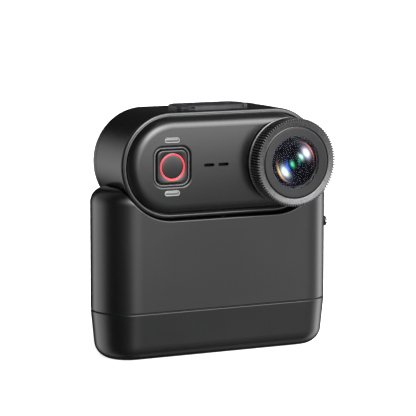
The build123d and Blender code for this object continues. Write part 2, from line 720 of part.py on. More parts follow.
# Light pipes above and below the button: pale rim with a smoked lens inside.
pipe_back_y = face_y + cover_thickness + 0.4
for side, place in ((1, "upper"), (-1, "lower")):
    light_z = head_z + side * light_offset
    lens_size = (light_length - 2 * light_rim, light_height - 2 * light_rim)
    with BuildPart() as light_rim_part:
        add(face_pad(light_front_y, pipe_back_y, button_x, light_z, light_length, light_height,
                     light_height / 2 - 0.01))
        add(face_pad(face_y - 1, pipe_back_y + 1, button_x, light_z, lens_size[0], lens_size[1],
                     lens_size[1] / 2 - 0.01), mode=Mode.SUBTRACT)
    light_rim_part.part.label = f"light_rim_{place}"
    export_step(light_rim_part.part, f"parts/light_rim_{place}.step")
    with BuildPart() as light_lens:
        add(face_pad(light_front_y + 0.1, pipe_back_y, button_x, light_z, lens_size[0], lens_size[1],
                     lens_size[1] / 2 - 0.01))
    light_lens.part.label = f"light_lens_{place}"
    export_step(light_lens.part, f"parts/light_lens_{place}.step")

# Acoustic mesh behind the two microphone slots, and the two microphones behind it.
mesh_y = face_y + cover_thickness
with BuildPart() as mic_mesh:
    add(face_pad(mesh_y, mesh_y + 0.25, mic_x, head_z, mic_spacing + mic_length + 1.6, mic_height + 1.8, 0.8))
mic_mesh.part.label = "mic_mesh"
export_step(mic_mesh.part, "parts/mic_mesh.step")
with BuildPart() as microphones:
    for side in (-1, 1):
        add(face_pad(mesh_y + 0.25, mesh_y + 1.35, mic_x + side * mic_spacing / 2, head_z, 3.0, 2.2, 0.3))
microphones.part.label = "microphones"
export_step(microphones.part, "parts/microphones.step")

# Lens mount: collar in front of the face, neck through the cover and a flange behind it.
with BuildPart() as lens_mount:
    add(barrel_solid(collar_front_y, face_y, mount_collar_radius))
    add(barrel_solid(face_y, edge_start_y, mount_neck_radius))
    with BuildSketch(front_plane(edge_start_y + 1.0)):
        with Locations((lens_x, head_z)):
            Circle(mount_neck_radius + mount_flange)
        with Locations((0, head_z)):
            SlotCenterToCenter(head_arc_span, 2 * (cover_rim_radius - cover_rim_wall - slip_fit),
                               mode=Mode.INTERSECT)
    extrude(amount=1.0)
    add(barrel_solid(collar_front_y - 1, 0, mount_bore), mode=Mode.SUBTRACT)
lens_mount.part.label = "lens_mount"
export_step(lens_mount.part, "parts/lens_mount.step")

# Knurled guard ring that turns on the collar.
with BuildPart() as guard_ring:
    add(barrel_solid(ring_front_y, ring_rear_y, ring_radius - tooth_depth))
    chamfer(guard_ring.faces().sort_by(Axis.Y)[0].edges(), ring_front_chamfer)
    add(barrel_solid(ring_rear_y - ring_flange, ring_rear_y, ring_radius))
    tooth_front_y = ring_front_y + ring_front_chamfer
    tooth_rear_y = ring_rear_y - ring_flange - 0.25
    tooth_width = radians(360 / tooth_count) * ring_radius
    with BuildSketch(front_plane(tooth_rear_y)):
        with Locations((lens_x, head_z)):
            with PolarLocations(ring_radius - 0.5 * tooth_depth, tooth_count):
                Trapezoid(0.62 * tooth_width, tooth_depth + 0.1, 72, rotation=-90)
    extrude(amount=tooth_rear_y - tooth_front_y)
    add(barrel_solid(collar_front_y - 0.5 * collar_gap, ring_rear_y + 1, ring_bore), mode=Mode.SUBTRACT)
    add(barrel_solid(ring_front_y - 1, ring_rear_y, bezel_seat_radius + close_fit), mode=Mode.SUBTRACT)
guard_ring.part.label = "guard_ring"
export_step(guard_ring.part, "parts/guard_ring.step")

# Conical bezel inside the ring that leads in to the glass.
with BuildPart() as cone_bezel:
    with BuildSketch(Plane.XY.offset(head_z)):
        with BuildLine():
            Polyline(
                (lens_x + glass_radius - 0.3, glass_front_y),
                (lens_x + bezel_seat_radius - 0.2, ring_front_y + bezel_groove),
                (lens_x + bezel_seat_radius, ring_front_y + bezel_groove + 0.2),
                (lens_x + bezel_seat_radius, glass_back_y),
                (lens_x + glass_radius + close_fit, glass_back_y),
                (lens_x + glass_radius + close_fit, glass_front_y + 0.1),
                (lens_x + glass_radius - 0.3, glass_front_y + 0.1),
                close=True,
            )
        make_face()
    revolve(axis=Axis((lens_x, 0, head_z), (0, 1, 0)))
cone_bezel.part.label = "cone_bezel"
export_step(cone_bezel.part, "parts/cone_bezel.step")

# Protective glass of the guard ring and the seal that beds it.
with BuildPart() as guard_glass:
    add(barrel_solid(glass_front_y + 0.1, glass_back_y - 0.1, glass_radius))
guard_glass.part.label = "guard_glass"
export_step(guard_glass.part, "parts/guard_glass.step")
with BuildPart() as glass_seal:
    add(barrel_solid(glass_back_y - 0.1, glass_back_y, glass_radius, glass_radius - 0.6))
glass_seal.part.label = "glass_seal"
export_step(glass_seal.part, "parts/glass_seal.step")

# Lens barrel with its stack of elements, aperture spacer and infrared filter.
barrel_back_y = 2.0
element_radius = barrel_radius - barrel_wall
with BuildPart() as lens_barrel:
    add(barrel_solid(barrel_front_y, barrel_back_y, barrel_radius, element_radius))
lens_barrel.part.label = "lens_barrel"
export_step(lens_barrel.part, "parts/lens_barrel.step")
stack = (
    ("front_element", barrel_front_y + 0.3, 2.6, 0.0),
    ("aperture_spacer", barrel_front_y + 3.1, 1.4, 2.2),
    ("rear_element", barrel_front_y + 4.6, 3.2, 0.0),
    ("infrared_filter", barrel_back_y - 1.0, 0.6, 0.0),
)
for name, y_front, depth, bore in stack:
    with BuildPart() as element:
        add(barrel_solid(y_front, y_front + depth, element_radius - 0.01, bore))
    element.part.label = name
    export_step(element.part, f"parts/{name}.step")

# Image sensor on its board, directly behind the barrel, and the spreader plate that cools it.
sensor_y = barrel_back_y + 0.2
with BuildPart() as image_sensor:
    add(face_pad(sensor_y, sensor_y + 0.9, lens_x, head_z, 9.0, 7.4, 0.2))
image_sensor.part.label = "image_sensor"
export_step(image_sensor.part, "parts/image_sensor.step")
with BuildPart() as sensor_board:
    add(face_pad(sensor_y + 0.9, sensor_y + 1.7, lens_x, head_z, 11.5, 11.5, 1.0))
sensor_board.part.label = "sensor_board"
export_step(sensor_board.part, "parts/sensor_board.step")
with BuildPart() as heat_spreader:
    add(face_pad(sensor_y + 1.9, sensor_y + 2.7, 2.0, head_z, 36.0, 14.0, 1.5))
heat_spreader.part.label = "heat_spreader"
export_step(heat_spreader.part, "parts/heat_spreader.step")

# Main board and cell of the head, left of the lens.
head_board_y = key_board_y + 1.6
inner_left = -(head_half_span + 4.0)
inner_right = lens_x - barrel_radius - 0.8
with BuildPart() as head_board:
    add(face_pad(head_board_y, head_board_y + board_thickness, (inner_left + inner_right) / 2, head_z,
                 inner_right - inner_left, 19.0, 2.0))
head_board.part.label = "head_board"
export_step(head_board.part, "parts/head_board.step")
with BuildPart() as head_cell:
    add(face_pad(head_board_y + board_thickness + 0.8, sensor_y + 1.7, (inner_left + inner_right) / 2, head_z,
                 inner_right - inner_left, 18.0, 1.0))
head_cell.part.label = "head_cell"
export_step(head_cell.part, "parts/head_cell.step")

# Contact block and gold pads in the underside of the head, over the dock's plungers.
head_bottom = head_z - head_radius
pad_thickness = 0.3
with BuildPart() as pad_block:
    with BuildSketch(Plane.XY.offset(head_bottom)):
        Rectangle(contact_block_length, contact_block_depth)
    extrude(amount=band_wall)
    with BuildSketch(Plane.XY.offset(head_bottom)):
        for x in contact_places:
            with Locations((x, 0)):
                Rectangle(2.0, 3.2)
    extrude(amount=pad_thickness, mode=Mode.SUBTRACT)
pad_block.part.label = "pad_block"
export_step(pad_block.part, "parts/pad_block.step")
with BuildPart() as contact_pads:
    with BuildSketch(Plane.XY.offset(head_bottom)):
        for x in contact_places:
            with Locations((x, 0)):
                Rectangle(2.0, 3.2)
    extrude(amount=pad_thickness)
contact_pads.part.label = "contact_pads"
export_step(contact_pads.part, "parts/contact_pads.step")
with BuildPart() as head_magnets:
    for side in (-1, 1):
        add(upright(side * magnet_x, 0, head_bottom + band_wall, head_bottom + band_wall + magnet_thickness,
                    magnet_radius))
head_magnets.part.label = "head_magnets"
export_step(head_magnets.part, "parts/head_magnets.step")

# Accessory plate let into the top of the band: chamfered corners, clip notches along both sides.
with BuildPart() as top_plate:
    with BuildSketch(Plane.XY.offset(head_z + head_radius)):
        with Locations((0, plate_y)):
            plate_outline = Rectangle(plate_length, plate_depth)
        chamfer(plate_outline.vertices(), plate_corner)
    extrude(amount=plate_height)
    chamfer(top_plate.faces().sort_by(Axis.Z)[-1].edges(), plate_chamfer)
    with BuildSketch(Plane.XY.offset(head_z + head_radius - plate_sink)):
        with Locations((0, plate_y)):
            Rectangle(plate_length - 2 * plate_corner - 2 * close_fit,
                      plate_depth - 2 * plate_corner - 2 * close_fit)
    extrude(amount=plate_sink)
    with BuildSketch(Plane.XY.offset(head_z + head_radius + notch_lift)):
        for side in (-1, 1):
            with Locations((side * (plate_length / 2 - 4.4), plate_y - side * plate_depth / 2),
                           (-side * (plate_length / 2 - 2.0), plate_y - side * (plate_depth / 2 - 0.6))):
                Rectangle(4.6, 1.6)
    extrude(amount=notch_height, mode=Mode.SUBTRACT)
    for side in (-1, 1):
        add(upright(side * plate_screw_x, plate_y, plate_top - 0.9, plate_top + 1,
                    plate_screw_radius + close_fit), mode=Mode.SUBTRACT)
top_plate.part.label = "top_plate"
export_step(top_plate.part, "parts/top_plate.step")
with BuildPart() as plate_screws:
    for side in (-1, 1):
        add(upright(side * plate_screw_x, plate_y, plate_top - 0.9, plate_top - 0.15, plate_screw_radius))
        with BuildSketch(Plane.XY.offset(plate_top - 0.55)):
            with Locations((side * plate_screw_x, plate_y)):
                RegularPolygon(screw_hex_radius, 6)
        extrude(amount=1, mode=Mode.SUBTRACT)
plate_screws.part.label = "plate_screws"
export_step(plate_screws.part, "parts/plate_screws.step")
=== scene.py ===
"""Looks of a two-piece action camera: a pill-shaped camera head docked in its screen-and-battery base."""

from math import cos, pi, radians, sin

import bmesh
import bpy
import numpy as np
from mathutils import Matrix, Vector


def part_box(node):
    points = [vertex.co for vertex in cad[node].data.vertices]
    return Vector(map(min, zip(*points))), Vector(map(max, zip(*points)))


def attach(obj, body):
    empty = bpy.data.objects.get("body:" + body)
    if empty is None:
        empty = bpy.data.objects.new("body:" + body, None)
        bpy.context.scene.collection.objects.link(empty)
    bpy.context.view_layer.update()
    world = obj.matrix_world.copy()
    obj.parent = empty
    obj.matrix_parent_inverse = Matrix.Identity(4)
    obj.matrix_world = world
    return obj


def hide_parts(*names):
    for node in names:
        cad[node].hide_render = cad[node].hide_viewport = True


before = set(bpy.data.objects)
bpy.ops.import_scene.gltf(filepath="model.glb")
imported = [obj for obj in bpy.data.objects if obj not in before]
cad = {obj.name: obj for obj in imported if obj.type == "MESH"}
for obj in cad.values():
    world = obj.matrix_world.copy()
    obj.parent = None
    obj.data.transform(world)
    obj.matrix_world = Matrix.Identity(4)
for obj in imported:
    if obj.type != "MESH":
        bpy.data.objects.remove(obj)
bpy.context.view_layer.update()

MM = 0.001

# ======== dock shell ========
# Upper half of the dock, one moulding in black glass-filled nylon about 1.8 mm thick.
# Its outside has the fine satin skin that spark erosion leaves in the mould.


def shader_group(name, inputs, outputs):
    """Empty node group with the given {name: kind} sockets; returns it with its input and output nodes."""
    group = bpy.data.node_groups.new(name, "ShaderNodeTree")
    kinds = {"float": "NodeSocketFloat", "vector": "NodeSocketVector", "colour": "NodeSocketColor"}
    for label, kind in inputs.items():
        group.interface.new_socket(label, in_out="INPUT", socket_type=kinds[kind])
    for label, kind in outputs.items():
        group.interface.new_socket(label, in_out="OUTPUT", socket_type=kinds[kind])
    return group, group.nodes.new("NodeGroupInput"), group.nodes.new("NodeGroupOutput")


def node(tree, kind, sockets=None, **settings):
    """One shader node: settings are its own properties, sockets give each input a value or a link."""
    made = tree.nodes.new(kind)
    for key, value in settings.items():
        setattr(made, key, value)
    for key, value in (sockets or {}).items():
        if isinstance(value, bpy.types.NodeSocket):
            tree.links.new(value, made.inputs[key])
        else:
            made.inputs[key].default_value = value
    return made


def math(tree, operation, *values):
    """Result socket of one Math node."""
    return node(tree, "ShaderNodeMath", dict(enumerate(values)), operation=operation).outputs[0]


def ramp(tree, value, stops, ease="EASE"):
    """Colour socket of a ramp; stops are (position, (r, g, b)) pairs."""
    made = node(tree, "ShaderNodeValToRGB", {"Fac": value})
    made.color_ramp.interpolation = ease
    elements = made.color_ramp.elements
    while len(elements) < len(stops):
        elements.new(0.5)
    for element, (position, colour) in zip(elements, stops):
        element.position = position
        element.color = (*colour, 1.0)
    return made.outputs["Color"]


def span(tree, value, low, high, to_low=0.0, to_high=1.0, ease="SMOOTHSTEP"):
    """Value socket of a Map Range node from low..high to to_low..to_high."""
    made = node(
        tree,
        "ShaderNodeMapRange",
        {"Value": value, 1: low, 2: high, 3: to_low, 4: to_high},
        interpolation_type=ease,
    )
    return made.outputs["Result"]


# Moulded skin: fine spark-eroded grain in Height, and in Drift the slow change of gloss that melt flow
# leaves.
skin_group, skin_in, skin_out = shader_group(
    "moulded_skin",
    {"Vector": "vector", "Grain": "float", "Drift Scale": "float"},
    {"Height": "float", "Drift": "float"},
)
fine_grain = node(
    skin_group,
    "ShaderNodeTexNoise",
    {
        "Vector": skin_in.outputs["Vector"],
        "Scale": skin_in.outputs["Grain"],
        "Detail": 3.0,
        "Roughness": 0.6,
    },
)
slow_drift = node(
    skin_group,
    "ShaderNodeTexNoise",
    {"Vector": skin_in.outputs["Vector"], "Scale": skin_in.outputs["Drift Scale"], "Detail": 2.0},
)
skin_group.links.new(fine_grain.outputs["Fac"], skin_out.inputs["Height"])
skin_group.links.new(slow_drift.outputs["Fac"], skin_out.inputs["Drift"])


def place_group(tree, group, sockets):
    """A node group placed in a material, with its inputs set."""
    return node(tree, "ShaderNodeGroup", sockets, node_tree=group)


def new_material(name):
    """Material with its tree, its Principled shader and its Object coordinates socket."""
    material = bpy.data.materials.new(name)
    material.use_nodes = True
    tree = material.node_tree
    tree.nodes.clear()
    shader = tree.nodes.new("ShaderNodeBsdfPrincipled")
    output = tree.nodes.new("ShaderNodeOutputMaterial")
    tree.links.new(shader.outputs["BSDF"], output.inputs["Surface"])
    place = tree.nodes.new("ShaderNodeTexCoord").outputs["Object"]
    return material, tree, shader, place


def moulded(name, dark, light, gloss, grain=5200.0, depth=0.012, drift=38.0, **plain):
    """Moulded plastic or rubber: colour and roughness drift slowly, the mould's grain gives the bump."""
    material, tree, shader, place = new_material(name)
    skin = place_group(tree, skin_group, {"Vector": place, "Grain": grain, "Drift Scale": drift})
    colour = ramp(tree, skin.outputs["Drift"], [(0.3, dark), (0.7, light)])
    rough = span(tree, skin.outputs["Drift"], 0.3, 0.7, gloss[0], gloss[1])
    bump = node(
        tree,
        "ShaderNodeBump",
        {"Strength": 0.5, "Distance": depth * MM, "Height": skin.outputs["Height"]},
    )
    tree.links.new(colour, shader.inputs["Base Color"])
    tree.links.new(rough, shader.inputs["Roughness"])
    tree.links.new(bump.outputs["Normal"], shader.inputs["Normal"])
    for key, value in plain.items():
        shader.inputs[key.replace("_", " ")].default_value = value
    return material


def dress(material, *names):
    """Gives CAD nodes their finish."""
    for name in names:
        cad[name].data.materials.clear()
        cad[name].data.materials.append(material)


dock_plastic = moulded("dock_nylon", (0.0020, 0.0021, 0.0024), (0.0027, 0.0028, 0.0031), (0.20, 0.24))
dress(dock_plastic, "dock_shell")

# ======== dock base cap ========
# Lower half of the dock, the same nylon, pushed up into the shell on a spigot and held by two screws.
# A soft gasket fills the seam just inside the outline.
dress(dock_plastic, "dock_base_cap")
seal_rubber = moulded(
    "seal_rubber", (0.006, 0.006, 0.006), (0.009, 0.009, 0.009), (0.62, 0.72), grain=1500.0
)
dress(seal_rubber, "cap_gasket", "back_gasket", "glass_seal")

# ======== tripod insert and screws ========
# Brass bush heat-set into the cap under the middle of the dock, with two blackened steel screws beside it.
# Turned and rolled parts, with fine tool marks and a little tarnish.
machined_group, machined_in, machined_out = shader_group(
    "machined_marks",
    {"Vector": "vector", "Marks": "float"},
    {"Height": "float", "Tarnish": "float"},
)
tool_marks = node(
    machined_group,
    "ShaderNodeTexNoise",
    {"Vector": machined_in.outputs["Vector"], "Scale": machined_in.outputs["Marks"], "Detail": 4.0},
)
tarnish = node(
    machined_group,
    "ShaderNodeTexNoise",
    {"Vector": machined_in.outputs["Vector"], "Scale": 260.0, "Detail": 5.0, "Roughness": 0.7},
)
machined_group.links.new(tool_marks.outputs["Fac"], machined_out.inputs["Height"])
machined_group.links.new(tarnish.outputs["Fac"], machined_out.inputs["Tarnish"])


def metal(name, dark, light, gloss, marks=2400.0, depth=0.01, stretch=(1.0, 1.0, 1.0), metallic=1.0):
    """Machined or plated metal: tarnish varies colour and roughness, tool marks give the bump."""
    material, tree, shader, place = new_material(name)
    along = node(tree, "ShaderNodeMapping", {"Vector": place, "Scale": stretch})
    work = place_group(tree, machined_group, {"Vector": along.outputs["Vector"], "Marks": marks})
    colour = ramp(tree, work.outputs["Tarnish"], [(0.3, dark), (0.7, light)])
    rough = span(tree, work.outputs["Tarnish"], 0.3, 0.7, gloss[0], gloss[1])
    bump = node(
        tree, "ShaderNodeBump", {"Strength": 0.4, "Distance": depth * MM, "Height": work.outputs["Height"]}
    )
    tree.links.new(colour, shader.inputs["Base Color"])
    tree.links.new(rough, shader.inputs["Roughness"])
    tree.links.new(bump.outputs["Normal"], shader.inputs["Normal"])
    shader.inputs["Metallic"].default_value = metallic
    return material


dress(metal("insert_brass", (0.52, 0.33, 0.11), (0.68, 0.46, 0.18), (0.22, 0.38)), "tripod_insert")
screw_steel = metal("screw_steel", (0.05, 0.05, 0.055), (0.09, 0.09, 0.095), (0.28, 0.42))
dress(screw_steel, "base_screws", "cover_screws", "plate_screws")

# ======== dock internals ========
# Pouch cell, main board with its chips, magnets, speaker, slide switch body and charging socket.
# Bought-in parts clipped or glued inside the shell; only the socket and the contacts reach the outside.
board_material, tree, shader, place = new_material("board_solder_mask")
tracks = node(
    tree,
    "ShaderNodeTexBrick",
    {
        "Vector": place,
        "Scale": 260.0,
        "Color1": (0.006, 0.045, 0.02, 1),
        "Color2": (0.008, 0.06, 0.026, 1),
        "Mortar": (0.02, 0.13, 0.055, 1),
        "Mortar Size": 0.035,
    },
)
track_bump = node(
    tree, "ShaderNodeBump", {"Strength": 0.4, "Distance": 0.03 * MM, "Height": tracks.outputs["Fac"]}
)
tree.links.new(tracks.outputs["Color"], shader.inputs["Base Color"])
tree.links.new(span(tree, tracks.outputs["Fac"], 0.0, 1.0, 0.32, 0.45), shader.inputs["Roughness"])
tree.links.new(track_bump.outputs["Normal"], shader.inputs["Normal"])
dress(board_material, "dock_board", "head_board", "key_board", "sensor_board")

chip_epoxy = moulded(
    "chip_epoxy", (0.012, 0.012, 0.013), (0.022, 0.022, 0.023), (0.45, 0.6), grain=3000.0, depth=0.02
)
dress(chip_epoxy, "dock_chips", "dock_speaker", "switch_body", "tact_switch")
dress(chip_epoxy, "switch_plunger", "microphones", "image_sensor")
cell_foil = metal("cell_foil", (0.42, 0.43, 0.45), (0.56, 0.57, 0.6), (0.3, 0.46), 420.0, 0.05)
dress(cell_foil, "dock_cell", "head_cell")
magnet_nickel = metal("magnet_nickel", (0.5, 0.49, 0.47), (0.62, 0.61, 0.58), (0.18, 0.3))
dress(magnet_nickel, "dock_magnets", "head_magnets")
dress(metal("socket_steel", (0.36, 0.36, 0.37), (0.5, 0.5, 0.51), (0.2, 0.34)), "usb_socket")
dress(metal("spreader_copper", (0.55, 0.25, 0.13), (0.7, 0.36, 0.2), (0.25, 0.4), 900.0), "heat_spreader")

# ======== docking contacts ========
# Four gold-plated spring plungers in a black insert through the saddle floor.
# Flat pads in the head's underside meet them when it stands in the dock.
contact_gold = metal("contact_gold", (0.72, 0.48, 0.14), (0.85, 0.6, 0.2), (0.14, 0.26))
dress(contact_gold, "spring_contacts", "contact_pads")
contact_insert = moulded("contact_insert", (0.012, 0.012, 0.013), (0.018, 0.018, 0.02), (0.3, 0.4))
dress(contact_insert, "contact_block", "pad_block")

# ======== screen on the back ========
# Display panel under a cover glass with a black border printed on its inner face.
# The glass is bonded into a recess in the back wall of the dock.
glass_black, tree, shader, place = new_material("screen_glass")
skin = place_group(tree, skin_group, {"Vector": place, "Grain": 900.0, "Drift Scale": 60.0})
border = node(tree, "ShaderNodeSeparateXYZ", {"Vector": place})
panel_low, panel_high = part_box("display_panel")
half_window = (panel_high - panel_low) / 2
window_middle = (panel_high + panel_low) / 2
border_blur = 0.1 * MM
across = math(tree, "ABSOLUTE", math(tree, "SUBTRACT", border.outputs["X"], window_middle.x))
upward = math(tree, "ABSOLUTE", math(tree, "SUBTRACT", border.outputs["Z"], window_middle.z))
inside = math(
    tree,
    "MULTIPLY",
    span(tree, across, half_window.x - border_blur, half_window.x, 1.0, 0.0),
    span(tree, upward, half_window.z - border_blur, half_window.z, 1.0, 0.0),
)
glass_tint = ramp(tree, inside, [(0.0, (0.0025, 0.0025, 0.003)), (1.0, (0.010, 0.012, 0.016))])
tree.links.new(glass_tint, shader.inputs["Base Color"])
tree.links.new(span(tree, skin.outputs["Drift"], 0.3, 0.7, 0.04, 0.09), shader.inputs["Roughness"])
shader.inputs["Coat Weight"].default_value = 0.4
shader.inputs["Coat Roughness"].default_value = 0.03
dress(glass_black, "screen_glass")
panel_material, tree, shader, place = new_material("display_panel")
cells = node(
    tree,
    "ShaderNodeTexBrick",
    {
        "Vector": place,
        "Scale": 900.0,
        "Color1": (0.012, 0.014, 0.018, 1),
        "Color2": (0.016, 0.018, 0.024, 1),
        "Mortar": (0.004, 0.004, 0.005, 1),
    },
)
tree.links.new(cells.outputs["Color"], shader.inputs["Base Color"])
tree.links.new(span(tree, cells.outputs["Fac"], 0.0, 1.0, 0.15, 0.3), shader.inputs["Roughness"])
dress(panel_material, "display_panel")

# ======== side slide switch ========
# Small knob in black acetal with a groove for the nail, standing out of the right end wall of the dock.
# A foot inside the wall holds it, and it slides up and down.
knob_plastic = moulded("knob_acetal", (0.012, 0.012, 0.013), (0.018, 0.018, 0.019), (0.3, 0.38))
dress(knob_plastic, "switch_knob")

# ======== head band ========
# Stadium-shaped tube that forms the sides of the camera head, moulded in the same nylon as the dock, with a
# slightly finer skin. The rear cover closes it with four small screws.
head_plastic = moulded(
    "head_nylon", (0.0020, 0.0021, 0.0024), (0.0028, 0.0029, 0.0032), (0.20, 0.24), grain=6400.0
)
dress(head_plastic, "head_frame", "back_cover", "front_cover")

# ======== trim lip ========
# Thin moulded bead between the band and the front cover, following their pill outline.
# It stands just proud of the band and catches the light as a fine line.


def eased(corners, ease, steps=4):
    """Closed outline with each corner P replaced by a quadratic curve that starts and ends `ease` from P.

    Point at u along it is (1-u)^2 A + 2u(1-u) P + u^2 B, where A and B lie on the two sides that meet at P;
    ease is cut to 45% of the shorter side.
    """
    p = np.asarray(corners, float)
    before, after = np.roll(p, 1, 0) - p, np.roll(p, -1, 0) - p
    reach = np.minimum(np.linalg.norm(before, axis=1), np.linalg.norm(after, axis=1)) * 0.45
    reach = np.minimum(reach, ease)[:, None]
    a = p + before / np.linalg.norm(before, axis=1, keepdims=True) * reach
    b = p + after / np.linalg.norm(after, axis=1, keepdims=True) * reach
    u = np.linspace(0, 1, steps)[None, :, None]
    curve = (1 - u) ** 2 * a[:, None] + 2 * u * (1 - u) * p[:, None] + u**2 * b[:, None]
    return curve.reshape(-1, p.shape[1])


def closed_skin(name, points, seam_closed=True):
    """Mesh of quads over a grid of points (around, along, xyz): corner (i, j) joins (i+1, j) and (i, j+1).

    i always runs round to its start again, and j does where seam_closed says that the outline is a loop. An
    outline that starts and ends on the axis has its doubles merged there, which closes the poles. The faces
    are turned outwards, and edges sharper than 40 degrees stay sharp.
    """
    around, along = points.shape[:2]
    i = np.arange(around)[:, None]
    last = along if seam_closed else along - 1
    j = np.arange(last)[None, :]
    a = i * along + j
    b = ((i + 1) % around) * along + j
    step = np.where(j + 1 < along, 1, 1 - along)
    quads = np.stack([a, b, b + step, a + step], -1).reshape(-1, 4)
    mesh = bpy.data.meshes.new(name)
    mesh.from_pydata(points.reshape(-1, 3).tolist(), [], quads.tolist())
    work = bmesh.new()
    work.from_mesh(mesh)
    bmesh.ops.remove_doubles(work, verts=work.verts, dist=1e-7)
    bmesh.ops.recalc_face_normals(work, faces=work.faces)
    work.to_mesh(mesh)
    work.free()
    mesh.shade_smooth()
    mesh.set_sharp_from_angle(angle=radians(40))
    piece = bpy.data.objects.new(name, mesh)
    bpy.context.scene.collection.objects.link(piece)
    return piece


def carried_round(outline, centre, half=(0.0, 0.0), around=192, relief=None):
    """Grid of points from an outline carried round a rounded rectangle on the front of the camera.

    Outline rows are (r, y, s) in mm. At angle t the point lies at x = cx + s hx sign(cos t) + r cos t and
    z = cz + s hz sign(sin t) + r sin t, with y from the outline: a circle where hx and hz are 0, a stadium
    where one of them is. relief, one value per angle and row, is taken off r.
    """
    rows = np.asarray(outline, float)
    if rows.shape[1] == 2:
        rows = np.column_stack([rows, np.ones(len(rows))])
    quarter = np.linspace(0, pi / 2, around // 4 + 1)
    t = np.concatenate([quarter + k * pi / 2 for k in range(4)])
    side = np.repeat([[1, 1], [-1, 1], [-1, -1], [1, -1]], len(quarter), axis=0)
    if half[0] == 0 and half[1] == 0:
        t = np.linspace(0, 2 * pi, around, endpoint=False)
        side = np.zeros((around, 2))
    r = rows[None, :, 0] - (0.0 if relief is None else relief)
    x = centre[0] + side[:, :1] * half[0] * rows[None, :, 2] + r * np.cos(t)[:, None]
    z = centre[1] + side[:, 1:] * half[1] * rows[None, :, 2] + r * np.sin(t)[:, None]
    y = np.broadcast_to(rows[None, :, 1], x.shape)
    return np.stack([x, y, z], -1) * MM


def finish_piece(piece, material, body, slot, *nodes):
    """Gives a new piece its finish and its body, and hides the CAD nodes that it stands for; slot is not
    used.
    """
    piece.data.materials.append(material)
    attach(piece, body)
    if nodes:
        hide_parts(*nodes)


def millimetres(name):
    """Low corner, high corner and middle of a CAD node in mm."""
    low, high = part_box(name)
    low, high = np.array(low) / MM, np.array(high) / MM
    return low, high, (low + high) / 2


lip_low, lip_high, lip_middle = millimetres("trim_lip")
lip_radius = (lip_high[2] - lip_low[2]) / 2
lip_span = (lip_high[0] - lip_low[0]) / 2 - lip_radius
lip_wall = 0.35
lip_front = lip_low[1] + 0.02
lip_outline = eased(
    [
        (lip_radius, lip_front),
        (lip_radius, lip_high[1]),
        (lip_radius - lip_wall, lip_high[1]),
        (lip_radius - lip_wall, lip_front),
    ],
    0.15,
)
lip_points = carried_round(lip_outline, lip_middle[[0, 2]], (lip_span, 0.0), 160)
trim_lip = closed_skin("trim_lip_bead", lip_points)
lip_plastic = moulded("lip_satin", (0.030, 0.030, 0.032), (0.040, 0.040, 0.042), (0.22, 0.28))
finish_piece(trim_lip, lip_plastic, "head", "trim", "trim_lip")

# ======== button frame and record button ========
# Square push button in gloss black with eased corners, a dished groove with a translucent red ring in it and
# a low dome inside the ring. The ring is no lamp; its glow is painted.
# It sits in a thin moulded frame and moves straight in.
frame_low, frame_high, frame_middle = millimetres("button_bezel")
button_low, button_high, button_middle = millimetres("record_button")
frame_plastic = moulded("frame_satin", (0.045, 0.045, 0.048), (0.060, 0.060, 0.063), (0.22, 0.28))
frame_half = (frame_high[0] - frame_low[0]) / 2
frame_corner = 2.45
frame_wall = 0.35
frame_outline = eased(
    [
        (frame_corner, frame_low[1]),
        (frame_corner, frame_high[1]),
        (frame_corner - frame_wall, frame_high[1]),
        (frame_corner - frame_wall, frame_low[1]),
    ],
    0.12,
)
frame_flat = frame_half - frame_corner
frame_points = carried_round(frame_outline, frame_middle[[0, 2]], (frame_flat, frame_flat), 96)
button_frame = closed_skin("button_frame", frame_points)
finish_piece(button_frame, frame_plastic, "head", "trim", "button_bezel")

cap_corner = 2.0
cap_half = 4.6
cap_front = button_low[1]
ring_out, ring_in = 3.62, 3.24
groove_floor = cap_front + 0.3
stem_radius = 1.2
flange_proud = 0.45
cap_outline = np.array(
    [
        # r, y, share of the square's flats: the round middle first, then the square rim, flange and stem
        (0.0, cap_front + 0.02, 0.0),
        (1.0, cap_front + 0.035, 0.0),
        (2.0, cap_front + 0.075, 0.0),
        (2.7, cap_front + 0.13, 0.0),
        (3.0, cap_front + 0.17, 0.0),
        (ring_in, cap_front + 0.22, 0.0),
        (ring_in, groove_floor, 0.0),
        (ring_out, groove_floor, 0.0),
        (ring_out, cap_front + 0.05, 0.0),
        (ring_out + 0.06, cap_front + 0.02, 0.0),
        (cap_corner - 0.45, cap_front, 1.0),
        (cap_corner - 0.32, cap_front + 0.02, 1.0),
        (cap_corner - 0.1, cap_front + 0.2, 1.0),
        (cap_corner, cap_front + 0.42, 1.0),
        (cap_corner, button_high[1] - 1.0, 1.0),
        (cap_corner + flange_proud, button_high[1] - 1.0, 1.0),
        (cap_corner + flange_proud, button_high[1] - 0.5, 1.0),
        (stem_radius, button_high[1] - 0.5, 0.0),
        (stem_radius, button_high[1], 0.0),
        (0.0, button_high[1], 0.0),
    ]
)
cap_flat = cap_half - cap_corner
cap_points = carried_round(cap_outline, button_middle[[0, 2]], (cap_flat, cap_flat), 192)
record_cap = closed_skin("record_button_cap", cap_points, seam_closed=False)
gloss_black = moulded(
    "button_gloss",
    (0.0016, 0.0016, 0.0018),
    (0.0024, 0.0024, 0.0026),
    (0.06, 0.10),
    grain=2600.0,
    depth=0.001,
)
finish_piece(record_cap, gloss_black, "record_key", "button_gloss", "record_button")

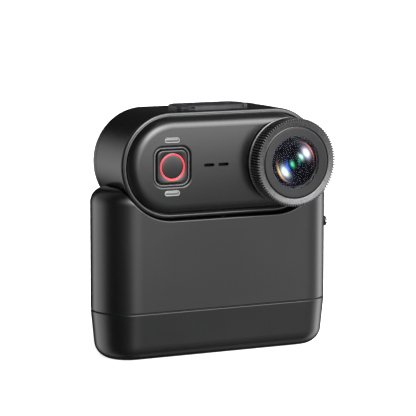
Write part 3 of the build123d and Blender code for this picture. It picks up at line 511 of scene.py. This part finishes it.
red_low, red_high, red_middle = millimetres("record_ring")
groove_gap = 0.01
red_front = red_low[1] + 0.03
red_outline = eased(
    [
        (ring_out - groove_gap, red_front),
        (ring_out - groove_gap, red_high[1] - groove_gap),
        (ring_in + groove_gap, red_high[1] - groove_gap),
        (ring_in + groove_gap, red_front),
    ],
    0.16,
)
red_ring = closed_skin("record_ring_painted_glow", carried_round(red_outline, red_middle[[0, 2]], around=128))
red_material, tree, shader, place = new_material("ring_red")
skin = place_group(tree, skin_group, {"Vector": place, "Grain": 1800.0, "Drift Scale": 420.0})
red = ramp(tree, skin.outputs["Drift"], [(0.3, (0.70, 0.012, 0.02)), (0.7, (0.85, 0.02, 0.03))])
tree.links.new(red, shader.inputs["Base Color"])
# Painted glow: the red ring emits light though nothing lights it.
red_painted_glow = ramp(tree, skin.outputs["Drift"], [(0.3, (0.82, 0.02, 0.03)), (0.7, (1.0, 0.035, 0.045))])
tree.links.new(red_painted_glow, shader.inputs["Emission Color"])
tree.links.new(span(tree, skin.outputs["Drift"], 0.3, 0.7, 0.2, 0.3), shader.inputs["Roughness"])
shader.inputs["Emission Strength"].default_value = 0.75
finish_piece(red_ring, red_material, "record_key", "record_red", "record_ring")

# ======== status lights ========
# Two pill-shaped light guides, one above the button and one below it.
# Each is a frosted rim moulded round a smoked lens, pressed into the front cover.
rim_material = moulded(
    "light_rim", (0.10, 0.10, 0.105), (0.16, 0.16, 0.165), (0.22, 0.34), grain=1400.0, depth=0.01
)
smoke_material = moulded(
    "light_smoke", (0.035, 0.035, 0.037), (0.055, 0.055, 0.058), (0.16, 0.24), grain=1200.0
)
rim_wall = 0.32
for place_name in ("upper", "lower"):
    rim_low, rim_high, rim_middle = millimetres(f"light_rim_{place_name}")
    rim_radius = (rim_high[2] - rim_low[2]) / 2
    rim_span = (rim_high[0] - rim_low[0]) / 2 - rim_radius
    rim_outline = eased(
        [
            (rim_radius, rim_low[1]),
            (rim_radius, rim_high[1]),
            (rim_radius - rim_wall, rim_high[1]),
            (rim_radius - rim_wall, rim_low[1]),
        ],
        0.14,
    )
    rim = closed_skin(
        f"light_guide_rim_{place_name}", carried_round(rim_outline, rim_middle[[0, 2]], (rim_span, 0.0), 64)
    )
    finish_piece(rim, rim_material, "head", "light_rim", f"light_rim_{place_name}")
    crown = np.array(
        [
            (0.0, rim_low[1] + 0.06),
            (0.2, rim_low[1] + 0.08),
            (rim_radius - rim_wall, rim_low[1] + 0.18),
            (rim_radius - rim_wall, rim_high[1]),
            (0.0, rim_high[1]),
        ]
    )
    guide = closed_skin(
        f"light_guide_lens_{place_name}",
        carried_round(crown, rim_middle[[0, 2]], (rim_span, 0.0), 64),
        seam_closed=False,
    )
    finish_piece(guide, smoke_material, "head", "light_lens", f"light_lens_{place_name}")

# ======== microphone mesh ========
# Woven stainless gauze, blackened, glued behind the two slots in the front cover.
# It lets sound in and keeps dust out.
gauze, tree, shader, place = new_material("gauze_steel")
wires = node(
    tree,
    "ShaderNodeTexChecker",
    {
        "Vector": place,
        "Scale": 9000.0,
        "Color1": (0.010, 0.010, 0.010, 1),
        "Color2": (0.002, 0.002, 0.002, 1),
    },
)
tree.links.new(wires.outputs["Color"], shader.inputs["Base Color"])
tree.links.new(span(tree, wires.outputs["Fac"], 0.0, 1.0, 0.4, 0.7), shader.inputs["Roughness"])
shader.inputs["Specular IOR Level"].default_value = 0.02
dress(gauze, "mic_mesh")

# ======== lens barrel and elements ========
# Black anodised barrel with its stack of elements; the front one is gently domed and multi-coated.
# The coloured glints that such a coating shows are painted on the front element as glowing spots, painted
# reflections set in a table round the lens axis.
lens_centre = millimetres("guard_ring")[2][[0, 2]]
barrel_black = metal(
    "barrel_black", (0.003, 0.003, 0.0035), (0.006, 0.006, 0.0065), (0.3, 0.42), metallic=0.0
)
barrel_black.node_tree.nodes["Principled BSDF"].inputs["Specular IOR Level"].default_value = 0.15
dress(barrel_black, "lens_barrel", "aperture_spacer", "lens_mount")

# Painted glint: a soft glowing spot, a painted reflection, at Radius and Angle round the lens axis,
# with Length along the arc and Width across it.
glint_group, glint_in, glint_out = shader_group(
    "painted_coating_glint",
    {"Vector": "vector", "Radius": "float", "Angle": "float", "Length": "float", "Width": "float"},
    {"Mask": "float"},
)
lens_place = node(glint_group, "ShaderNodeSeparateXYZ", {"Vector": glint_in.outputs["Vector"]})
out_from_axis = math(
    glint_group,
    "SQRT",
    math(
        glint_group,
        "ADD",
        math(glint_group, "POWER", lens_place.outputs["X"], 2.0),
        math(glint_group, "POWER", lens_place.outputs["Z"], 2.0),
    ),
)
turn = math(glint_group, "ARCTAN2", lens_place.outputs["Z"], lens_place.outputs["X"])
turn_off = math(glint_group, "SUBTRACT", turn, glint_in.outputs["Angle"])
turn_wrapped = math(glint_group, "ABSOLUTE", math(glint_group, "WRAP", turn_off, pi, -pi))
turn_share = math(glint_group, "DIVIDE", turn_wrapped, glint_in.outputs["Length"])
in_turn = math(glint_group, "POWER", turn_share, 2.0)
in_radius = math(
    glint_group,
    "POWER",
    math(
        glint_group,
        "DIVIDE",
        math(glint_group, "SUBTRACT", out_from_axis, glint_in.outputs["Radius"]),
        glint_in.outputs["Width"],
    ),
    2.0,
)
off_spot = math(glint_group, "ADD", in_turn, in_radius)
fade = math(glint_group, "EXPONENT", math(glint_group, "MULTIPLY", off_spot, -1.0))
glint_group.links.new(fade, glint_out.inputs["Mask"])

element_low, element_high = millimetres("front_element")[:2]
barrel_low, barrel_high = millimetres("lens_barrel")[:2]
element_radius = (element_high[0] - element_low[0]) / 2
dome_edge = (barrel_high[0] - barrel_low[0]) / 2 - 0.07
dome_rise = 0.34
dome_radius = (dome_edge**2 + dome_rise**2) / (2 * dome_rise)
dome_r = np.linspace(0, dome_edge, 28)
dome_top = barrel_low[1] - 0.06 - dome_rise
dome_y = dome_top + dome_radius - np.sqrt(dome_radius**2 - dome_r**2)
element_outline = np.vstack(
    [
        np.column_stack([dome_r, dome_y]),
        [
            (dome_edge, barrel_low[1] - 0.01),
            (element_radius, barrel_low[1] - 0.01),
            (element_radius, element_high[1]),
            (0.0, element_high[1]),
        ],
    ]
)
front_element = closed_skin(
    "lens_front_element", carried_round(element_outline, lens_centre, around=128), seam_closed=False
)
coated, tree, shader, place = new_material("coated_element_painted_glints")
glints_aside = 0.6
on_lens = node(
    tree,
    "ShaderNodeMapping",
    {
        "Vector": place,
        "Location": (-lens_centre[0] - glints_aside, 0.0, -lens_centre[1]),
        "Scale": (1000.0, 1000.0, 1000.0),
    },
)
# Painted reflections of the lights in the coating, drawn as glowing spots; the last two rows are broad faint
# sheens near the rim.
glints = (
    # radius mm, angle deg, half length rad, half width mm, colour, strength
    (4.05, 36, 0.34, 0.85, (0.80, 0.78, 1.0), 2.3),
    (5.70, 36, 0.42, 0.15, (1.0, 0.22, 0.10), 1.2),
    (2.15, 41, 0.42, 0.48, (0.55, 1.0, 0.75), 1.7),
    (1.10, 15, 0.70, 0.34, (0.02, 0.45, 0.28), 0.8),
    (1.25, 206, 0.60, 0.50, (0.10, 1.0, 0.42), 1.1),
    (2.90, 202, 0.42, 0.40, (0.02, 0.14, 1.0), 1.3),
    (4.20, 217, 0.34, 0.75, (0.72, 0.95, 1.0), 2.3),
    (5.75, 215, 0.42, 0.17, (1.0, 0.50, 0.08), 1.3),
    (5.45, 206, 0.28, 0.12, (1.0, 0.95, 0.45), 1.0),
    (5.60, 62, 0.60, 0.90, (0.16, 0.17, 0.20), 0.28),
    (5.40, 236, 0.40, 0.80, (0.03, 0.04, 0.22), 0.35),
)
glow = None
for radius, angle, length, width, colour, strength in glints:
    mask = place_group(
        tree,
        glint_group,
        {
            "Vector": on_lens.outputs["Vector"],
            "Radius": radius,
            "Angle": radians(angle),
            "Length": length,
            "Width": width,
        },
    ).outputs["Mask"]
    tint = node(
        tree,
        "ShaderNodeVectorMath",
        {0: tuple(c * strength for c in colour), "Scale": mask},
        operation="SCALE",
    ).outputs["Vector"]
    glow = tint if glow is None else node(
        tree, "ShaderNodeVectorMath", {0: glow, 1: tint}, operation="ADD"
    ).outputs["Vector"]
tree.links.new(glow, shader.inputs["Emission Color"])
shader.inputs["Emission Strength"].default_value = 1.0
skin = place_group(tree, skin_group, {"Vector": place, "Grain": 900.0, "Drift Scale": 160.0})
tree.links.new(
    ramp(tree, skin.outputs["Drift"], [(0.3, (0.002, 0.002, 0.003)), (0.7, (0.004, 0.004, 0.006))]),
    shader.inputs["Base Color"],
)
tree.links.new(span(tree, skin.outputs["Drift"], 0.3, 0.7, 0.05, 0.09), shader.inputs["Roughness"])
shader.inputs["Specular Tint"].default_value = (0.55, 0.6, 1.0, 1.0)
shader.inputs["Specular IOR Level"].default_value = 0.02
finish_piece(front_element, coated, "head", "optical_glass", "front_element")
element_glass = moulded(
    "element_glass", (0.003, 0.003, 0.004), (0.005, 0.005, 0.007), (0.05, 0.1), grain=900.0, depth=0.001
)
dress(element_glass, "rear_element", "infrared_filter")

# ======== guard ring ========
# Turned aluminium ring, bead-blasted and black anodised, with a straight knurl of a hundred teeth round its
# side. It turns on the lens mount's collar and carries the protective glass.
ring_low, ring_high = millimetres("guard_ring")[:2]
teeth = 100
tooth_depth = 0.62
rear, front = ring_high[1], ring_low[1]
tip = (ring_high[0] - ring_low[0]) / 2
root = tip - tooth_depth
collar_bore = 10.68
bore = 9.60
dish = 0.32
groove = 9.85
ring_rows = np.array(
    [
        # r, y, share of the tooth cut
        (collar_bore, rear, 0.0),
        (tip - 0.12, rear, 0.0),
        (tip - 0.03, rear - 0.06, 0.0),
        (tip - 0.03, rear - 0.36, 0.0),
        (tip - 0.10, rear - 0.42, 0.0),
        (root + 0.02, rear - 0.46, 0.0),
        (root, rear - 0.52, 0.0),
        (root, rear - 0.66, 0.0),
        (tip - 0.22, rear - 0.70, 0.6),
        (tip - 0.04, rear - 0.80, 0.95),
        (tip, rear - 0.95, 1.0),
        (tip, rear - 2.0, 1.0),
        (tip, front + 1.6, 1.0),
        (tip, front + 0.14, 1.0),
        (tip - 0.10, front + 0.02, 1.0),
        (tip - 0.14, front, 0.95),
        (root - 0.04, front + dish * 0.15, 0.0),
        (root - 0.30, front + dish * 0.25, 0.0),
        (groove + 0.24, front + dish, 0.0),
        (groove + 0.08, front + dish + 0.03, 0.0),
        (groove, front + dish + 0.12, 0.0),
        (groove, front + 0.75, 0.0),
        (bore, front + 0.65, 0.0),
        (bore, rear - 2.0, 0.0),
        (collar_bore, rear - 1.95, 0.0),
    ]
)
samples = 12
tooth_phase = (np.arange(teeth * samples) / samples) % 1.0
from_tip = np.abs(tooth_phase - 0.5) * 2
tooth_cut = tooth_depth * np.clip((from_tip - 0.30) / 0.28, 0, 1)
ring_relief = tooth_cut[:, None] * ring_rows[None, :, 2]
ring_points = carried_round(ring_rows[:, :2], lens_centre, around=teeth * samples, relief=ring_relief)
guard_ring = closed_skin("guard_ring_knurled", ring_points)
# Bead blast: round dimples in Height and a fine speckle in Speck.
blast_group, blast_in, blast_out = shader_group(
    "bead_blast", {"Vector": "vector", "Size": "float"}, {"Height": "float", "Speck": "float"}
)
dimples = node(
    blast_group,
    "ShaderNodeTexVoronoi",
    {"Vector": blast_in.outputs["Vector"], "Scale": blast_in.outputs["Size"]},
)
specks = node(
    blast_group,
    "ShaderNodeTexNoise",
    {"Vector": blast_in.outputs["Vector"], "Scale": blast_in.outputs["Size"], "Detail": 2.0},
)
blast_group.links.new(dimples.outputs["Distance"], blast_out.inputs["Height"])
blast_group.links.new(specks.outputs["Fac"], blast_out.inputs["Speck"])


# Knurl: Mask is 0 at the bottom of a tooth and 1 at its tip, from the distance to the lens axis.
# It drives the painted shade in the valleys and the painted highlight on the tips.
valley_group, valley_in, valley_out = shader_group(
    "knurl_valley", {"Vector": "vector", "Root": "float", "Tip": "float"}, {"Mask": "float"}
)
off_axis = node(valley_group, "ShaderNodeSeparateXYZ", {"Vector": valley_in.outputs["Vector"]})
reach = math(
    valley_group,
    "SQRT",
    math(
        valley_group,
        "ADD",
        math(valley_group, "POWER", off_axis.outputs["X"], 2.0),
        math(valley_group, "POWER", off_axis.outputs["Z"], 2.0),
    ),
)
depth_share = math(
    valley_group,
    "DIVIDE",
    math(valley_group, "SUBTRACT", reach, valley_in.outputs["Root"]),
    math(valley_group, "SUBTRACT", valley_in.outputs["Tip"], valley_in.outputs["Root"]),
)
depth_clamped = math(valley_group, "MINIMUM", math(valley_group, "MAXIMUM", depth_share, 0.0), 1.0)
valley_group.links.new(depth_clamped, valley_out.inputs["Mask"])


def anodised(name, dark, light, gloss, size, depth, metallic, knurl=None):
    """Bead-blasted anodised aluminium: dimples give the bump, specks the colour and the roughness.

    knurl, the (root, tip) radii in mm, paints shade into the valleys between teeth round the lens axis and a
    painted highlight onto the tooth tips, and leaves the flat front face alone.
    """
    material, tree, shader, place = new_material(name)
    blast = place_group(tree, blast_group, {"Vector": place, "Size": size})
    colour = ramp(tree, blast.outputs["Speck"], [(0.3, dark), (0.7, light)])
    if knurl:
        from_lens = node(
            tree,
            "ShaderNodeMapping",
            {
                "Vector": place,
                "Location": (-lens_centre[0], 0.0, -lens_centre[1]),
                "Scale": (1000.0, 1000.0, 1000.0),
            },
        )
        valley = place_group(
            tree, valley_group, {"Vector": from_lens.outputs["Vector"], "Root": knurl[0], "Tip": knurl[1]}
        )
        normal = node(tree, "ShaderNodeNewGeometry").outputs["Normal"]
        facing = node(tree, "ShaderNodeSeparateXYZ", {"Vector": normal})
        front_face = span(tree, math(tree, "ABSOLUTE", facing.outputs["Y"]), 0.55, 0.85)
        # Painted shade and highlight: colour falls to 0.04 at the bottom of a tooth and rises to 2.64 times
        # at its tip.
        painted_tip_highlight = math(tree, "MULTIPLY", math(tree, "POWER", valley.outputs["Mask"], 2.0), 2.6)
        shade = math(tree, "ADD", math(tree, "MAXIMUM", front_face, painted_tip_highlight), 0.04)
        colour = node(
            tree, "ShaderNodeVectorMath", {0: colour, "Scale": shade}, operation="SCALE"
        ).outputs["Vector"]
    tree.links.new(colour, shader.inputs["Base Color"])
    rough = span(tree, blast.outputs["Speck"], 0.3, 0.7, gloss[0], gloss[1])
    tree.links.new(rough, shader.inputs["Roughness"])
    bump = node(
        tree, "ShaderNodeBump", {"Strength": 0.6, "Distance": depth * MM, "Height": blast.outputs["Height"]}
    )
    tree.links.new(bump.outputs["Normal"], shader.inputs["Normal"])
    shader.inputs["Metallic"].default_value = metallic
    return material


ring_black = anodised(
    "ring_anodised",
    (0.045, 0.045, 0.046),
    (0.085, 0.085, 0.087),
    gloss=(0.26, 0.34),
    size=4200.0,
    depth=0.02,
    metallic=0.85,
    knurl=(root, tip),
)
finish_piece(guard_ring, ring_black, "lens_guard", "knurl_metal", "guard_ring")

# ======== cone bezel and guard glass ========
# Black anodised cone that leads in to the glass, with very fine baffle steps.
# The flat hardened glass is bedded on a seal behind it.
cone_low, cone_high = millimetres("cone_bezel")[:2]
glass_low, glass_high = millimetres("guard_glass")[:2]
cone_out = (cone_high[0] - cone_low[0]) / 2
glass_radius = (glass_high[0] - glass_low[0]) / 2
glass_lap = 0.12
steps = 9
step_share = np.repeat(np.linspace(0, 1, steps + 1), 2)[1:-1]
step_r = np.interp(step_share, [0, 1], [glass_radius - glass_lap, cone_out - 0.22])
step_fall = np.repeat(np.arange(steps), 2) / (steps - 1)
step_y = np.interp(step_fall, [0, 1], [glass_low[1] - 0.1, cone_low[1]])
cone_rows = np.vstack(
    [
        np.column_stack([step_r, step_y]),
        [
            (cone_out - 0.05, cone_low[1] + 0.03),
            (cone_out, cone_low[1] + 0.12),
            (cone_out, cone_high[1]),
            (glass_radius + 0.05, cone_high[1]),
            (glass_radius + 0.05, glass_low[1]),
            (glass_radius - glass_lap, glass_low[1]),
        ],
    ]
)
cone_bezel = closed_skin("cone_bezel_stepped", carried_round(cone_rows, lens_centre, around=160))
cone_black = anodised(
    "cone_anodised",
    (0.010, 0.010, 0.011),
    (0.018, 0.018, 0.019),
    gloss=(0.32, 0.42),
    size=6000.0,
    depth=0.01,
    metallic=0.5,
)
finish_piece(cone_bezel, cone_black, "lens_guard", "lens_black", "cone_bezel")

glass_edge = glass_radius - 0.02
glass_rows = np.array(
    [
        (0.0, glass_low[1] + 0.01),
        (glass_edge - 0.08, glass_low[1] + 0.01),
        (glass_edge, glass_low[1] + 0.12),
        (glass_edge, glass_high[1] - 0.12),
        (glass_edge - 0.08, glass_high[1] - 0.01),
        (0.0, glass_high[1] - 0.01),
    ]
)
glass_points = carried_round(glass_rows, lens_centre, around=128)
guard_glass = closed_skin("guard_glass_disc", glass_points, seam_closed=False)
clear_glass, tree, shader, place = new_material("clear_glass")
skin = place_group(tree, skin_group, {"Vector": place, "Grain": 900.0, "Drift Scale": 120.0})
tree.links.new(
    ramp(tree, skin.outputs["Drift"], [(0.3, (0.90, 0.92, 0.98)), (0.7, (0.94, 0.95, 1.0))]),
    shader.inputs["Base Color"],
)
tree.links.new(span(tree, skin.outputs["Drift"], 0.3, 0.7, 0.0, 0.02), shader.inputs["Roughness"])
shader.inputs["Transmission Weight"].default_value = 1.0
shader.inputs["IOR"].default_value = 1.10
finish_piece(guard_glass, clear_glass, "lens_guard", "optical_glass", "guard_glass")

# ======== top accessory plate ========
# Low cast plate, painted black, held to the top of the band by two small screws.
# It has notches at its left end and a slot along its front.
plate_metal = metal(
    "plate_cast", (0.016, 0.016, 0.018), (0.024, 0.024, 0.026), (0.28, 0.36), metallic=0.2
)
dress(plate_metal, "top_plate")

# ======== studio ========
# Plain pale floor under soft walls of light, a softbox overhead, and the camera.
# The floor and the softbox are kept out of reflections, so that only the walls show in the gloss.
floor_half = 6.0
floor_mesh = bpy.data.meshes.new("floor")
floor_mesh.from_pydata(
    [
        (-floor_half, -floor_half, 0),
        (floor_half, -floor_half, 0),
        (floor_half, floor_half, 0),
        (-floor_half, floor_half, 0),
    ],
    [],
    [(0, 1, 2, 3)],
)
floor = bpy.data.objects.new("floor", floor_mesh)
bpy.context.scene.collection.objects.link(floor)
floor_material, tree, shader, place = new_material("floor_paper")
paper = place_group(tree, skin_group, {"Vector": place, "Grain": 300.0, "Drift Scale": 2.0})
tree.links.new(
    ramp(tree, paper.outputs["Drift"], [(0.3, (0.86, 0.86, 0.86)), (0.7, (0.88, 0.88, 0.88))]),
    shader.inputs["Base Color"],
)
shader.inputs["Roughness"].default_value = 0.9
shader.inputs["Specular IOR Level"].default_value = 0.0
shader.inputs["Emission Color"].default_value = (1, 1, 1, 1)
shader.inputs["Emission Strength"].default_value = 0.84
floor_mesh.materials.append(floor_material)
floor.visible_glossy = False

world = bpy.data.worlds.new("studio")
world.use_nodes = True
bpy.context.scene.world = world
tree = world.node_tree
tree.nodes.clear()
sky = node(tree, "ShaderNodeTexCoord").outputs["Generated"]
direction = node(tree, "ShaderNodeSeparateXYZ", {"Vector": sky})
minus_x = math(tree, "MULTIPLY", direction.outputs["X"], -1.0)
minus_y = math(tree, "MULTIPLY", direction.outputs["Y"], -1.0)
azimuth = math(tree, "DEGREES", math(tree, "ARCTAN2", minus_x, minus_y))
height = math(tree, "DEGREES", math(tree, "ARCSINE", direction.outputs["Z"]))


def light_curve(angle, whole, stops):
    """Level of a light wall against an angle: straight lines between (degrees, level) stops."""
    share = span(tree, angle, -whole, whole, ease="LINEAR")
    greys = [((degrees + whole) / (2 * whole), (level, level, level)) for degrees, level in stops]
    return ramp(tree, share, greys, "LINEAR")


# Azimuth is 0 in front, 90 on the left, -90 on the right; height is -90 below, 90 above.
light_walls = (
    # front wall of light, brighter upwards, with a strip along its top
    (
        [(-180, 0), (-66, 0.0), (-58, 0.19), (-50, 0.26), (-42, 0.36), (-34, 0.42), (-26, 0.40),
         (-17, 0.46), (-11, 0.58), (-4, 0.61), (2, 0.57), (8, 0.41), (14, 0.25), (20, 0.15), (26, 0.08),
         (40, 0.02), (60, 0.0), (180, 0)],
        [(-90, 0.016), (-62, 0.008), (-48, 0.024), (-30, 0.045), (-17, 0.066), (-11, 0.097), (-8, 0.117),
         (-4, 0.178), (0, 0.25), (5, 0.33), (14, 0.56), (20, 1.0), (34, 1.0), (44, 0.5), (52, 0.06),
         (90, 0.02)],
        27.0,
    ),
    # strip on the right
    (
        [(-180, 0), (-126, 0.0), (-115, 0.18), (-106, 0.65), (-99, 1.0), (-92, 1.0), (-86, 0.95), (-76, 0.5),
         (-66, 0.26), (-58, 0.08), (-50, 0.0), (180, 0)],
        [(-90, 0.05), (-50, 0.2), (-20, 0.9), (0, 1.0), (20, 1.0), (36, 0.6), (50, 0.1), (90, 0.05)],
        3.5,
    ),
    # broad wall on the left, to the rear
    (
        [(-180, 0.0), (70, 0.0), (84, 0.06), (90, 0.15), (98, 0.33), (105, 0.58), (113, 0.78), (122, 0.95),
         (132, 1.0), (140, 1.0), (150, 0.9), (158, 0.5), (166, 0.0), (180, 0.0)],
        [(-90, 0.15), (-50, 0.3), (-20, 0.95), (-8, 1.0), (8, 0.75), (24, 0.28), (60, 0.12), (90, 0.1)],
        2.1,
    ),
)
fill_level, seen_level = 0.03, 1.2
total = fill_level
for sides, heights, power in light_walls:
    from_side = light_curve(azimuth, 180.0, sides)
    level = math(tree, "MULTIPLY", from_side, light_curve(height, 90.0, heights))
    total = math(tree, "ADD", total, math(tree, "MULTIPLY", level, power))
seen = node(tree, "ShaderNodeLightPath").outputs["Is Camera Ray"]
strength = math(tree, "MAXIMUM", total, math(tree, "MULTIPLY", seen, seen_level))
backdrop = node(tree, "ShaderNodeBackground", {"Color": (1, 1, 1, 1), "Strength": strength})
node(tree, "ShaderNodeOutputWorld", {"Surface": backdrop.outputs["Background"]})

key_data = bpy.data.lights.new("key_softbox", "AREA")
key_data.shape = "RECTANGLE"
key_data.size, key_data.size_y = 0.9, 0.7
key_data.energy = 9.0
key = bpy.data.objects.new("key_softbox", key_data)
key_place = Vector((0.7, -0.5, 1.1))
key_back = Vector((0.7, -0.5, 1.05))
key_turn = key_back.to_track_quat("Z", "Y").to_matrix().to_4x4()
key.matrix_world = Matrix.Translation(key_place) @ key_turn
key.visible_glossy = False
bpy.context.scene.collection.objects.link(key)

turn_left, tilt_down, distance = radians(26.23), radians(7.615), 0.60525
aside, raised, aim_height = 0.0003146, -0.002262, 0.03710
right = Vector((cos(turn_left), -sin(turn_left), 0.0))
forward = Vector((sin(turn_left) * cos(tilt_down), cos(turn_left) * cos(tilt_down), -sin(tilt_down)))
upright = right.cross(forward)
stand = -distance * forward - aside * right - raised * upright + Vector((0, 0, aim_height))
camera_data = bpy.data.cameras.new("camera")
camera_data.lens = 190.46
camera_data.sensor_width = 36.0
camera_data.clip_start = 0.01
camera = bpy.data.objects.new("camera", camera_data)
camera.matrix_world = Matrix.Translation(stand) @ Matrix((right, upright, -forward)).transposed().to_4x4()
bpy.context.scene.collection.objects.link(camera)
bpy.context.scene.camera = camera
bpy.context.scene.view_settings.view_transform = "Standard"
